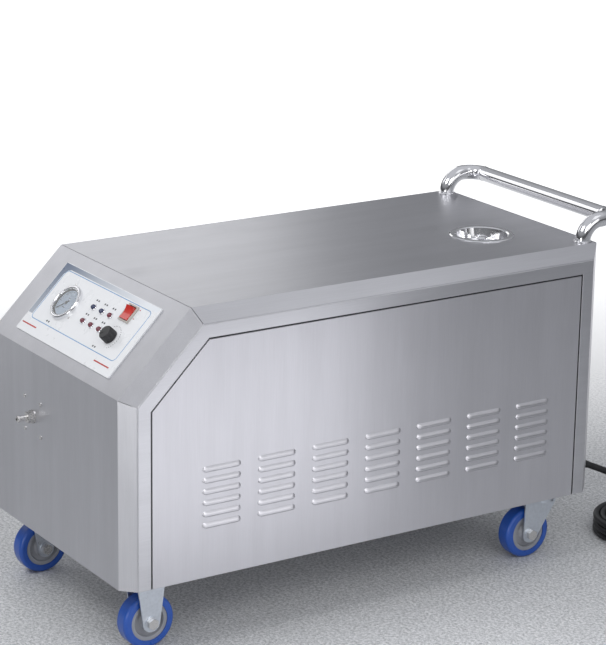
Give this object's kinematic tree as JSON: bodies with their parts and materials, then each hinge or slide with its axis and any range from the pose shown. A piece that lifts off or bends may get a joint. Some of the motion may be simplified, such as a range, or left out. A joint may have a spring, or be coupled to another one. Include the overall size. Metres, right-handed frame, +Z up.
{
  "type": "steam cleaner",
  "caption": "Wheeled steel steam cleaner cabinet with a sloping control panel, louvred side doors, a filler bowl, a tube push handle, casters and a coiled mains cord.",
  "frame": {"origin": "on the floor under the middle of the machine's bounding box, measured without the cord", "axes": "+X across the machine, -Y towards the control panel and steam outlet, +Y towards the push handle, +Z up"},
  "size_m": [0.6046, 1.423, 0.672],
  "materials": {
    "panel_steel": "brushed",
    "dark_steel": "brushed",
    "inner_steel": "brushed",
    "chrome": "polished",
    "zinc": "zinc plated",
    "face_white": "gloss",
    "dial": "satin",
    "clear": "clear",
    "black_plastic": "satin",
    "needle_black": "satin",
    "lens": "gloss",
    "rocker_red": "gloss",
    "rocker_beige": "satin",
    "tyre_blue": "matte",
    "hub_grey": "satin",
    "tank_clear": "gloss",
    "copper": "satin",
    "brass": "satin",
    "pump_green": "satin",
    "box_grey": "matte",
    "cable_black": "matte"
  },
  "bodies": {
    "chassis": {"base_tray": "dark_steel", "chassis_rails": "inner_steel", "front_panel": "panel_steel", "top_cover": "dark_steel", "rear_panel": "dark_steel", "side_frame_left": "panel_steel", "side_frame_right": "panel_steel", "side_door_left": "panel_steel", "side_door_right": "panel_steel", "control_plate": "face_white", "gauge_case": "chrome", "gauge_dial": "dial", "gauge_glass": "clear", "light_1": "lens", "light_2": "lens", "light_3": "lens", "light_4": "lens", "light_5": "lens", "light_6": "lens", "rocker_frame": "rocker_beige", "potentiometer": "inner_steel", "outlet_body": "chrome", "outlet_nipple": "chrome", "outlet_screws": "chrome", "steam_pipe": "copper", "fill_flange": "chrome", "fill_neck": "chrome", "water_tank": "tank_clear", "boiler": "inner_steel", "heater": "inner_steel", "feed_pump": "pump_green", "safety_valve": "brass", "electrics_box": "box_grey", "handle": "chrome", "fork_fl": "zinc", "fork_fr": "zinc", "plate_rl": "zinc", "plate_rr": "zinc", "axle_front": "zinc", "caster_bolts": "zinc", "cable_gland": "black_plastic", "cord_tube": "cable_black", "cord_coil": "cable_black", "plug": "black_plastic"},
    "needle": {"gauge_needle": "needle_black"},
    "rocker": {"rocker": "rocker_red"},
    "knob": {"knob": "black_plastic"},
    "basket": {"fill_basket": "chrome"},
    "wheel_fl": {"tyre_fl": "tyre_blue", "hub_fl": "hub_grey"},
    "wheel_fr": {"tyre_fr": "tyre_blue", "hub_fr": "hub_grey"},
    "swivel_rl": {"fork_rl": "zinc", "axle_rl": "zinc"},
    "swivel_rr": {"fork_rr": "zinc", "axle_rr": "zinc"},
    "wheel_rl": {"tyre_rl": "tyre_blue", "hub_rl": "hub_grey"},
    "wheel_rr": {"tyre_rr": "tyre_blue", "hub_rr": "hub_grey"}
  },
  "joints": [
    {"name": "needle_sweep", "type": "hinge", "parent": "chassis", "child": "needle", "pos_m": [-0.085, -0.45363, 0.55237], "axis": [0, 0.7071, -0.7071], "range_deg": [0, 270]},
    {"name": "rocker_tilt", "type": "hinge", "parent": "chassis", "child": "rocker", "pos_m": [0.101, -0.431, 0.57924], "axis": [1, 0, 0], "range_deg": [-18, 0]},
    {"name": "knob_turn", "type": "hinge", "parent": "chassis", "child": "knob", "pos_m": [0.101, -0.46565, 0.54035], "axis": [0, 0.7071, -0.7071], "range_deg": [0, 270]},
    {"name": "basket_lift", "type": "slide", "parent": "chassis", "child": "basket", "axis": [0, 0, 1], "range_m": [0, 0.12]},
    {"name": "wheel_fl_spin", "type": "hinge", "parent": "chassis", "child": "wheel_fl", "pos_m": [-0.203, -0.458, 0.05], "axis": [1, 0, 0], "continuous": true},
    {"name": "wheel_fr_spin", "type": "hinge", "parent": "chassis", "child": "wheel_fr", "pos_m": [0.203, -0.458, 0.05], "axis": [1, 0, 0], "continuous": true},
    {"name": "swivel_rl_turn", "type": "hinge", "parent": "chassis", "child": "swivel_rl", "pos_m": [-0.203, 0.415, 0.11], "axis": [0, 0, 1], "continuous": true},
    {"name": "swivel_rr_turn", "type": "hinge", "parent": "chassis", "child": "swivel_rr", "pos_m": [0.203, 0.415, 0.11], "axis": [0, 0, 1], "continuous": true},
    {"name": "wheel_rl_spin", "type": "hinge", "parent": "swivel_rl", "child": "wheel_rl", "pos_m": [-0.203, 0.377, 0.05], "axis": [1, 0, 0], "continuous": true},
    {"name": "wheel_rr_spin", "type": "hinge", "parent": "swivel_rr", "child": "wheel_rr", "pos_m": [0.203, 0.377, 0.05], "axis": [1, 0, 0], "continuous": true}
  ]
}
